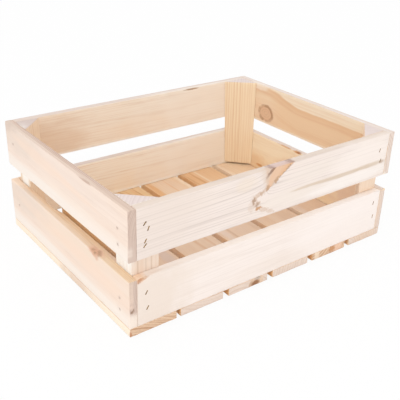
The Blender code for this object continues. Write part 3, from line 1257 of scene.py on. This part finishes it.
RESIN_STREAK = (
    outer(50, -8.0, 36, 2.2, RESIN_TAN, 0.65, lean=0.8),
    outer(108, -8.8, 60, 3.2, RESIN_TAN, 0.7),
    outer(158, -7.9, 36, 3.6, RESIN_TAN, 0.65),
    outer(181, -8.2, 5, 2.6, SCAR_DARK, 0.5),
)
LONG_TIMBER = {
    "front_upper_board": Timber(
        pith=(-150, -20), ring_width=4.6, line_from=0.62, contrast=0.72, drift_share=0.3, streak_share=0.22,
        pale=tone(244, 231, 223), late=tone(204, 189, 180), drift=tone(243, 228, 215),
        edge=tone(234, 217, 203), **LONG_ENDS,
        stains_and_painted_light=FRONT_WASHES + SCAR + RESIN_STREAK, bends=(spike_bend,), growths=(spike_knot,),
    ),
    "front_lower_board": Timber(
        pith=(-130, -30), ring_width=4.0, line_from=0.5, contrast=0.25, streak_share=0.15,
        pale=tone(250, 239, 232), late=tone(220, 204, 193), drift=tone(244, 230, 219),
        # the pale top-edge tone is painted light, lifting the shade that the upper board casts on this edge
        edge=tone(254, 243, 234), **LONG_ENDS,
        stains_and_painted_light=(
            outer(-178, -8, 60, 60, tone(240, 225, 212), 0.8),
            outer(140, 0, 130, 60, tone(254, 245, 240), 0.55),
            StainAndPaintedLight(-187, 29, 9, 5.0, SPLINTER_ORANGE, 0.8),
            StainAndPaintedLight(-183, 27.6, 8, 1.8, SCAR_ORANGE, 0.55, lean=12, depth=5, half_depth=3),
            StainAndPaintedLight(-186.3, 26.2, 5.0, 2.0, SPLINTER_DARK, 0.7, lean=30, depth=4, half_depth=5),
        ),
    ),
    "back_upper_board": Timber(
        pith=(90, 30), ring_width=3.0, line_from=0.45, contrast=0.35, streak_share=0.4, sway=6.0,
        pale=tone(249, 236, 219), late=BACK_LATE_AND_SHADE, drift=tone(246, 223, 198), edge=BACK_EDGE, **LONG_ENDS,
        stains_and_painted_light=(
            # painted shade: the inner face is darker towards its left end
            inner(165, -8, 90, 36, BACK_LATE_AND_SHADE, 0.5),
            # painted highlight along the lower edge of the inner face
            inner(0, -29.5, 400, 4.0, PAINTED_LOW_EDGE_LIGHT, 0.7),
            # painted light: the inner face is paler towards its right end
            inner(-110, 0, 130, 60, tone(252, 243, 231), 0.6),
            inner(-88, 27.6, 16, 1.5, WANE_BROWN, 0.9),
        ),
    ),
    "back_lower_board": Timber(
        pith=(-110, 20), ring_width=3.2, line_from=0.4, contrast=0.3, streak_share=0.4, sway=6.0,
        pale=tone(253, 243, 228), late=BACK_LATE_AND_SHADE, drift=tone(250, 232, 210), edge=BACK_EDGE, **LONG_ENDS,
        stains_and_painted_light=(
            # painted highlight along the lower edge of the inner face
            inner(0, -29, 400, 5.0, PAINTED_LOW_EDGE_LIGHT, 1.0),
            # painted light: the inner face is paler towards its right end
            inner(-110, 0, 130, 60, tone(254, 248, 239), 0.6),
            # painted shade: the inner face is darker towards its left end
            inner(160, 0, 40, 60, tone(245, 232, 215), 0.8),
            StainAndPaintedLight(185, 29.5, 16, 3.0, tone(238, 208, 178), 0.9),
        ),
    ),
}
print("stains on the front upper board:", len(LONG_TIMBER["front_upper_board"].stains_and_painted_light))

# %% Saw the long boards
saw("long_board", LONG_TIMBER)

# %% [markdown]
# ## The end boards
# On the right upper end board the saw came close to the heart of the log: below a curved line the wood
# is orange, and above it lies pale sapwood. A round knot sits near its back end. The left lower
# board has a knot on its top edge, and the upper one has lost a long splinter from its outer edge.

# %% Heartwood with a curved border
HEART_TONE = tone(241, 211, 176)
HEART_BORDER = tone(228, 186, 146)
HEART_LEVEL = 14.4
HEART_RISE = 13.0
HEART_CLIMB = (8.0, 80.0)
HEART_SCALE = (0.02, 0.08, 0.08)
HEART_WOBBLE = 5.0
HEART_SHARE = 0.92
PALER_FROM = (45.0, 85.0)
PALER_BY = 0.35
FACING_IN = (-0.5, -0.8)
SHARPEST = 1.5
SOFTER_FROM = (30.0, 100.0)
SOFTER_BY = 5.0
HEART_START = (-0.6, 1.0)
BAND_SCALE = 0.12
BAND_START = (0.0, 3.0)
BAND_RISE = (0.45, 0.72)
BAND_SHARE = 0.5
BORDER_START = (-0.6, 0.6)
BORDER_FADE = (16.0, 1.0)
BORDER_SHARE = 0.45


def heartwood(grain, colour):
    """Orange heart on the inner face, below a border that rises towards the back end."""
    border = grain.along.ease(*HEART_CLIMB) * HEART_RISE + HEART_LEVEL
    below = border - grain.across + grain.space.stretch(HEART_SCALE).noise() * HEART_WOBBLE
    inside = near_face(grain, INNER_FACE) * facing(grain, OUT).ease(*FACING_IN)
    soft = below / (grain.along.ease(*SOFTER_FROM) * SOFTER_BY + SHARPEST)
    sockets = {"W": below * BAND_SCALE + figure(grain, STREAKS), "Scale": 1.0, "Detail": 2.0}
    bands = below.node("ShaderNodeTexNoise", {"noise_dimensions": "1D"}, sockets).ease(*BAND_RISE)
    share = HEART_SHARE - grain.along.ease(*PALER_FROM) * PALER_BY
    colour = (inside * soft.ease(*HEART_START) * share).tint(colour, HEART_TONE)
    colour = (inside * below.ease(*BAND_START) * bands * BAND_SHARE).tint(colour, HEART_BORDER)
    edge = soft.ease(*BORDER_START) * below.ease(*BORDER_FADE)
    return (inside * edge * BORDER_SHARE).tint(colour, HEART_BORDER)


print("heart border in mm above the board's middle:", HEART_LEVEL, "to", HEART_LEVEL + HEART_RISE)

# %% Colours and marks of the end boards
NICK_BROWN = tone(150, 118, 96)
EDGE_LINE = tone(186, 152, 134)
NICK_ORANGE = tone(216, 160, 106)
KNOT_DEEP = tone(220, 174, 144)
FLAME_PEACH = tone(248, 223, 204)
CREAM_BAND = tone(249, 234, 221)
BACK_WASH = outer(-112, 15, 75, 22, tone(233, 215, 201), 0.75)
LOW_WASH = outer(0, -25, 400, 14, tone(249, 240, 231), 0.75)
LEFT_SHADES = {
    "pale": tone(247, 228, 214), "drift": tone(247, 224, 206),
    "end": tone(215, 192, 178), "end_dark": tone(192, 166, 152),
}
RIGHT_SHADES = {
    "late": tone(228, 192, 150), "edge": tone(235, 222, 215),
    "end": tone(234, 217, 205), "end_dark": tone(214, 189, 174),
}
END_TIMBER = {
    "left_upper_end_board": Timber(
        pith=(-10, -70), ring_width=2.6, contrast=0.10, streak_share=0.07, edge_lines=0.45,
        edge=tone(228, 206, 190), late=tone(196, 164, 144), **LEFT_SHADES,
        stains_and_painted_light=(
            outer(0, 17, 120, 14, tone(241, 223, 211), 0.5), BACK_WASH, LOW_WASH,
            StainAndPaintedLight(151.5, -22, 3.5, 18, LEFT_SHADES["end"], 0.95),
            StainAndPaintedLight(0, 29.5, 190, 2.0, EDGE_LINE, 0.75, depth=-3.4, half_depth=0.6),
            StainAndPaintedLight(20, 29.5, 140, 2.0, EDGE_LINE, 0.65, depth=-1.6, half_depth=0.5),
            StainAndPaintedLight(-30, 29.5, 120, 2.0, EDGE_LINE, 0.5, depth=0.6, half_depth=0.5),
            outer(-152, 28, 40, 12, tone(222, 202, 188), 0.9),
            outer(63, 29.2, 18, 2.6, tone(226, 204, 188), 0.9),
            outer(64, 28.0, 15, 0.8, EDGE_LINE, 0.5),
            outer(-50, 12, 90, 10, FLAME_PEACH, 0.6, lean=-4),
            outer(60, -14, 120, 8, CREAM_BAND, 0.6, lean=-3),
            outer(40, 6, 60, 5, FLAME_PEACH, 0.5, lean=-5),
        ),
    ),
    "left_lower_end_board": Timber(
        pith=(15, -60), ring_width=2.2, contrast=0.09, streak_share=0.06, edge_lines=0.6,
        edge=tone(240, 208, 174), late=tone(206, 164, 124), **LEFT_SHADES,
        stains_and_painted_light=(
            outer(-20, 17, 220, 20, tone(244, 222, 202), 0.7), BACK_WASH, LOW_WASH,
            StainAndPaintedLight(125, 30, 44, 4.0, tone(246, 222, 184), 0.25),
            StainAndPaintedLight(-140, 30, 32, 3.0, tone(252, 228, 206), 0.8),
            StainAndPaintedLight(77, 29, 18, 5.0, tone(234, 194, 166), 0.95, depth=1.5, half_depth=7.5),
            StainAndPaintedLight(77, 29, 12, 5.0, KNOT_DEEP, 0.85, depth=2.0, half_depth=6.0),
            StainAndPaintedLight(82, 25.5, 5.5, 4.5, KNOT_DEEP, 0.6, depth=5.0, half_depth=3.0),
            StainAndPaintedLight(76, 26.5, 4.5, 3.5, KNOT_DEEP, 0.6, depth=5.0, half_depth=3.0),
            StainAndPaintedLight(72, 29, 3.4, 2.4, NICK_BROWN, 0.30, depth=2.4, half_depth=2.2),
            StainAndPaintedLight(78.5, 29, 2.8, 2.6, NICK_BROWN, 0.45, depth=4.0, half_depth=1.8),
            StainAndPaintedLight(80.0, 29, 3.8, 2.4, NICK_BROWN, 0.30, depth=-1.2, half_depth=2.8),
            StainAndPaintedLight(83.3, 29, 3.8, 2.4, NICK_BROWN, 0.30, depth=0.8, half_depth=2.8),
            StainAndPaintedLight(86.5, 29, 3.8, 2.4, NICK_BROWN, 0.35, depth=3.0, half_depth=2.8),
            StainAndPaintedLight(150, -8.0, 5.0, 2.2, NICK_BROWN, 0.8, depth=2.0, half_depth=2.0),
            StainAndPaintedLight(150, -6.0, 5.0, 2.2, NICK_BROWN, 0.7, depth=0.0, half_depth=1.2),
            StainAndPaintedLight(150, -24, 5.0, 15, CREAM_BAND, 0.9),
            outer(70, 6, 110, 12, FLAME_PEACH, 0.75, lean=-3),
            outer(-60, 10, 90, 9, FLAME_PEACH, 0.4, lean=-3),
        ),
    ),
    "right_upper_end_board": Timber(
        pith=(-20, -50), contrast=0.25, pale=tone(249, 235, 213), drift=tone(246, 228, 200), **RIGHT_SHADES,
        knots=(Knot(82.5, -13, 15.5, 12.5, strength=0.8),), growths=(heartwood,),
        stains_and_painted_light=(
            inner(100, 26, 22, 6, tone(253, 240, 224), 0.7),
            # painted highlight: a pale band along the lower edge of the inner face
            inner(0, -29.5, 400, 4.0, tone(255, 246, 232), 0.75),
        ),
    ),
    "right_lower_end_board": Timber(
        pith=(0, -55), contrast=0.3, pale=tone(254, 240, 214), drift=tone(248, 222, 184), drift_share=0.8,
        **RIGHT_SHADES,
        stains_and_painted_light=(
            inner(-10, 4, 60, 16, HEART_TONE, 0.7, lean=-4),
            inner(98, -20, 36, 17, tone(234, 194, 148), 0.5),
            inner(88, -21.5, 9, 2.6, NICK_ORANGE, 0.9),
            StainAndPaintedLight(34, 29, 16, 1.5, NICK_ORANGE, 0.7, depth=-5, half_depth=3),
            StainAndPaintedLight(9, 28.6, 8, 2.2, NICK_ORANGE, 0.9, depth=-5, half_depth=5),
            StainAndPaintedLight(4.5, 28.8, 6, 2.0, tone(172, 118, 76), 0.8, depth=-5, half_depth=4.5),
            inner(-110, 0, 60, 40, tone(236, 209, 188), 0.85),
        ),
    ),
}
print("knots in the end boards:", sum(len(timber.knots) for timber in END_TIMBER.values()))

# %% Saw the end boards
saw("end_board", END_TIMBER)

# %% [markdown]
# ## The bottom slats
# The slats come from the heart of smaller logs: tan, with orange stripes where the heart shows and pale
# stripes of sapwood at an edge. Their sides lie in the gaps, so they look brown, and near the front end
# a painted shade darkens them further. The first slat's outer side is in the light, so its edges are
# painted cream, and the last slat's edges are painted paler for the light that the floor throws into its
# gap: painted light. Each stripe is a very long stain, and the first two slats have lost a corner at the
# back, which a chip takes out of the mesh. A pale oval under the back right post is painted light too.

# %% Colours and marks of the slats
HEART_ORANGE = tone(234, 186, 136)
HEART_BROWN = tone(212, 160, 110)
SAP_CREAM = tone(249, 228, 204)
GREY_TAN = tone(240, 214, 192)
GAP_PALE = tone(235, 213, 197)
GAP_LINE = tone(217, 185, 159)
PALE_ENDS = {"end": tone(236, 217, 203), "end_dark": tone(218, 194, 176)}
BROWN_ENDS = {"end": tone(233, 202, 172), "end_dark": tone(180, 128, 92)}
SLAT_SHADES = {
    "pale": tone(246, 218, 186), "late": tone(218, 172, 126), "drift": tone(242, 208, 170),
    "edge": tone(246, 206, 158),
}
# painted shade: a darker brown on each slat's left side near its front end, where it lies in the gap's shade
PAINTED_GAP_SHADE = StainAndPaintedLight(-142, 30.5, 8, 2.2, tone(216, 160, 108), 0.8)
FRONT_PART = StainAndPaintedLight(-32, 0, 60, 60, tone(227, 200, 180), 0.65)
SLAT_TIMBER = {
    "bottom_slat_1": Timber(
        pith=(80, -183), ring_width=2.4, line_from=0.4, edge_lines=0.06, contrast=0.3, **BROWN_ENDS,
        # the cream edge tone is painted light: this slat's outer side stands in the light, while the other
        # slats' sides lie in the gaps
        **{**SLAT_SHADES, "edge": tone(255, 240, 220)},
        stains_and_painted_light=(FRONT_PART, StainAndPaintedLight(-150, 30, 1.5, 2.6, SPLINTER_DARK, 0.8, depth=-2, half_depth=5)),
    ),
    "bottom_slat_2": Timber(
        pith=(-20, 90), **PALE_ENDS, **SLAT_SHADES,
        stains_and_painted_light=(
            StainAndPaintedLight(80, 18, 120, 10, GREY_TAN, 0.5), FRONT_PART,
            StainAndPaintedLight(-50, -18, 40, 9, tone(222, 200, 187), 0.8), PAINTED_GAP_SHADE,
        ),
    ),
    "bottom_slat_3": Timber(
        pith=(20, -50), **PALE_ENDS, **SLAT_SHADES,
        stains_and_painted_light=(
            StainAndPaintedLight(80, 0, 110, 60, tone(236, 200, 146), 0.6), StainAndPaintedLight(90, -13, 80, 2.5, HEART_ORANGE, 0.6),
            FRONT_PART, PAINTED_GAP_SHADE,
            StainAndPaintedLight(-30, -1.2, 70, 2.6, HEART_BROWN, 0.35, lean=3),
            StainAndPaintedLight(-30, -17, 60, 2.5, HEART_BROWN, 0.25, lean=2),
            StainAndPaintedLight(120, 2, 40, 2.2, HEART_BROWN, 0.7, lean=12),
            StainAndPaintedLight(112, -6, 36, 1.6, HEART_BROWN, 0.6, lean=8),
            StainAndPaintedLight(110, -18, 44, 1.8, HEART_BROWN, 0.6, lean=4),
            StainAndPaintedLight(-150, -12, 6, 12, BROWN_ENDS["end"], 0.8),
            StainAndPaintedLight(-150, -4, 6, 4.5, SCAR_BROWN, 0.7, depth=-1.5, half_depth=5.0),
            StainAndPaintedLight(-150, -10.8, 9, 7.2, KNOT_BROWN, 0.95, depth=-1.5, half_depth=4.5),
            StainAndPaintedLight(-150, -14, 6, 6.0, tone(192, 178, 168), 0.75, depth=3.8, half_depth=2.4),
        ),
    ),
    "bottom_slat_4": Timber(
        pith=(-90, -20), **PALE_ENDS, **SLAT_SHADES,
        stains_and_painted_light=(
            StainAndPaintedLight(60, -2, 170, 24, GREY_TAN, 0.6), StainAndPaintedLight(95, 26, 75, 6.8, HEART_ORANGE, 0.9, lean=-4),
            StainAndPaintedLight(95, -2.5, 60, 2.0, HEART_ORANGE, 0.5), StainAndPaintedLight(60, -26.5, 180, 5, SAP_CREAM, 0.8),
            FRONT_PART,
            StainAndPaintedLight(-48, 21, 36, 5.5, GAP_PALE, 0.85), StainAndPaintedLight(-50, 12.2, 40, 2.0, GAP_LINE, 0.85),
            StainAndPaintedLight(-50, -25, 40, 4.5, GAP_LINE, 0.5), PAINTED_GAP_SHADE,
        ),
    ),
    "bottom_slat_5": Timber(
        pith=(40, 40), **BROWN_ENDS, **SLAT_SHADES, knots=(Knot(-150, -7, 7, 4.5),),
        stains_and_painted_light=(
            StainAndPaintedLight(95, 0, 90, 60, HEART_ORANGE, 0.4), StainAndPaintedLight(60, 19, 140, 13, HEART_ORANGE, 0.5),
            StainAndPaintedLight(90, 27, 80, 3.0, HEART_BROWN, 0.5), StainAndPaintedLight(60, 14.5, 120, 3.2, HEART_BROWN, 0.6),
            StainAndPaintedLight(60, 5.3, 180, 2.4, SAP_CREAM, 0.7), FRONT_PART, StainAndPaintedLight(-50, -14, 40, 12, GAP_LINE, 0.35),
            StainAndPaintedLight(-150, 22, 6, 5, SAP_CREAM, 0.8), StainAndPaintedLight(-150, -17, 6, 9, tone(246, 208, 182), 0.7),
            StainAndPaintedLight(-150, -5.2, 6, 7.0, tone(208, 154, 112), 0.95, depth=1.4, half_depth=3.8), PAINTED_GAP_SHADE,
        ),
    ),
    "bottom_slat_6": Timber(
        # the paler edge tone is painted light: the floor lights the side that faces the gap
        pith=(70, -30), **PALE_ENDS, **{**SLAT_SHADES, "edge": tone(255, 236, 206)},
        stains_and_painted_light=(
            StainAndPaintedLight(95, 0, 80, 60, SAP_CREAM, 0.45), StainAndPaintedLight(60, 27, 180, 5, SAP_CREAM, 0.8), FRONT_PART,
            StainAndPaintedLight(-50, 23, 40, 5.5, GAP_PALE, 0.7), StainAndPaintedLight(-150, 0, 8, 24, BROWN_ENDS["end"], 0.4),
            # the pale oval under the back right post is painted light that lifts the post's shadow on the
            # slat
            PAINTED_GAP_SHADE, StainAndPaintedLight(126, -5, 27, 4, tone(255, 234, 200), 0.9, lean=45),
        ),
    ),
}
print("stripes and marks:", sum(len(timber.stains_and_painted_light) for timber in SLAT_TIMBER.values()))

# %% Saw the slats
saw("slat", SLAT_TIMBER)
for blank_piece in BLANKS.values():
    bpy.data.objects.remove(blank_piece, do_unlink=True)
print("blanks cleared away:", len(BLANKS))

# %% [markdown]
# ## The corner posts
# The posts stand upright, so their grain does too: straight lines a few millimetres apart on the ripped
# face, and pale end grain at the rim. The front posts see the light through the gaps, so their colours
# are painted cream, and the back ones stand in the warm light that the boards throw on each other, so
# theirs are painted warmer: painted light, laid into the colour. Each post is ripped, worn and dressed
# in one loop, and only its turn, foot, colours and stains are its own, with painted shade on the front
# right post's ripped face and painted light on the back left post's outer face.

# %% Turns, colours and marks of the posts
POST_TURNS = {
    "front_left_post": 0.0,
    "front_right_post": QUARTER_TURN,
    "back_right_post": HALF_TURN,
    "back_left_post": -QUARTER_TURN,
}
RIPPED_FACE_TURN = HALF_TURN * 3 / 4
WANDERED_FOOT = {"front_right_post": 0.77, "back_right_post": 0.81}
POST_ENDS = {"end": tone(234, 219, 214), "end_dark": tone(220, 203, 197)}
# painted light: the cream of a post face that stands in the light
POST_CREAM_PAINTED_LIGHT = tone(255, 252, 246)
# each post's pale and late tones, painted lighter for the front posts in the light and warmer for the back
# posts in the boards' warm light
POST_COLOURS_WITH_PAINTED_LIGHT = {
    "front_left_post": (POST_CREAM_PAINTED_LIGHT, tone(236, 214, 194)),
    "front_right_post": (tone(250, 227, 204), tone(238, 210, 182)),
    "back_right_post": (tone(252, 233, 203), tone(222, 180, 134)),
    "back_left_post": (tone(247, 225, 200), tone(208, 172, 136)),
}
FRONT_SIDE_TAN = tone(238, 212, 190)
FRONT_SIDE_LINE = tone(212, 186, 162)
POST_STAINS_AND_PAINTED_LIGHT = {
    "front_left_post": (
        StainAndPaintedLight(0, 16, 60, 14, FRONT_SIDE_TAN, 0.7),
        StainAndPaintedLight(0, 4.5, 60, 6, FRONT_SIDE_TAN, 0.6),
        StainAndPaintedLight(0, 4.6, 60, 1.2, FRONT_SIDE_LINE, 0.5, depth=-17.9, half_depth=1.2),
        StainAndPaintedLight(0, 11.6, 60, 1.1, FRONT_SIDE_LINE, 0.4, depth=-10.9, half_depth=1.1),
        StainAndPaintedLight(0, 16.4, 60, 1.1, FRONT_SIDE_LINE, 0.45, depth=-6.0, half_depth=1.1),
    ),
    # painted shade: the front right post's ripped face, which faces into the crate, is tinted tan
    "front_right_post": (StainAndPaintedLight(-10, 0, 70, 22, tone(231, 210, 191), 0.95, half_depth=7),),
    "back_left_post": (
        # painted light: the back left post's outer face is painted cream, while its ripped face inside stays
        # warmer
        StainAndPaintedLight(0, 12, 400, 18, POST_CREAM_PAINTED_LIGHT, 1.0, depth=-11, half_depth=10),
        StainAndPaintedLight(71, 0, 4, 60, tone(216, 198, 190), 1.0),
    ),
}
print("posts with a foot that the saw narrowed:", len(WANDERED_FOOT))

# %% Rip the posts
for post_node, post_turn in POST_TURNS.items():
    pale_with_painted_light, late_with_painted_light = POST_COLOURS_WITH_PAINTED_LIGHT[post_node]
    post_timber = Timber(
        pith=(200, 0), ring_width=4.0, contrast=0.6, pale=pale_with_painted_light, late=late_with_painted_light, drift=pale_with_painted_light,
        edge=pale_with_painted_light, stains_and_painted_light=POST_STAINS_AND_PAINTED_LIGHT.get(post_node, ()), **POST_ENDS,
    )
    post = rip_post(post_node, post_turn, WANDERED_FOOT.get(post_node, 1.0))
    wear(post)
    grain_turn = Euler((0.0, -QUARTER_TURN, post_turn - RIPPED_FACE_TURN))
    post_pine = pine(f"{post_node}_pine", node_middle(post_node), grain_turn, post_timber)
    finish_piece(post, post_node, post_pine)

# %% [markdown]
# ## Staples and nails
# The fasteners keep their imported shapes, because wire and nail heads are that plain. Staple wire is
# coated with a brown resin that wears off, so brass tones show through in patches, and the nails are
# bright steel that has dulled. Patches of noise choose between the two colours and set the gloss.

# %% Metal for the fasteners
METALLIC = 0.9
PATCHES_IN_METRE = (900.0, 900.0, 900.0)
WORN_RISE = (-0.10, 0.15)
BRIGHT_ROUGHNESS = 0.35
WORN_ROUGHNESS = 0.2
SCRATCH_DEPTH = 0.00005
SCRATCH_STRENGTH = 0.4
METALS = {
    "_staple_": ("staple_wire", tone(184, 142, 78), tone(102, 78, 52)),
    "_nail_": ("nail_steel", tone(234, 216, 204), tone(202, 182, 170)),
}


def metal(name, bright, dull):
    """Metal with dull patches."""
    material = bpy.data.materials.new(name)
    start = empty_tree(material)
    patches = start.node("ShaderNodeTexCoord", output="Object").stretch(PATCHES_IN_METRE).noise(detail=3.0)
    worn = patches.ease(*WORN_RISE)
    roughness = worn * WORN_ROUGHNESS + BRIGHT_ROUGHNESS
    bump = (SCRATCH_STRENGTH, SCRATCH_DEPTH, patches)
    close_material(start, worn.tint(bright, dull), roughness, bump, {"Metallic": METALLIC})
    return material


for mark, (metal_name, bright_tone, dull_tone) in METALS.items():
    fastener_metal = metal(f"worn_{metal_name}", bright_tone, dull_tone)
    fasteners = [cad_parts[name] for name in FASTENERS if mark in name]
    for fastener in fasteners:
        for material_slot in fastener.material_slots:
            material_slot.link = "OBJECT"
            material_slot.material = fastener_metal
    print(metal_name, "on", len(fasteners), "fasteners")
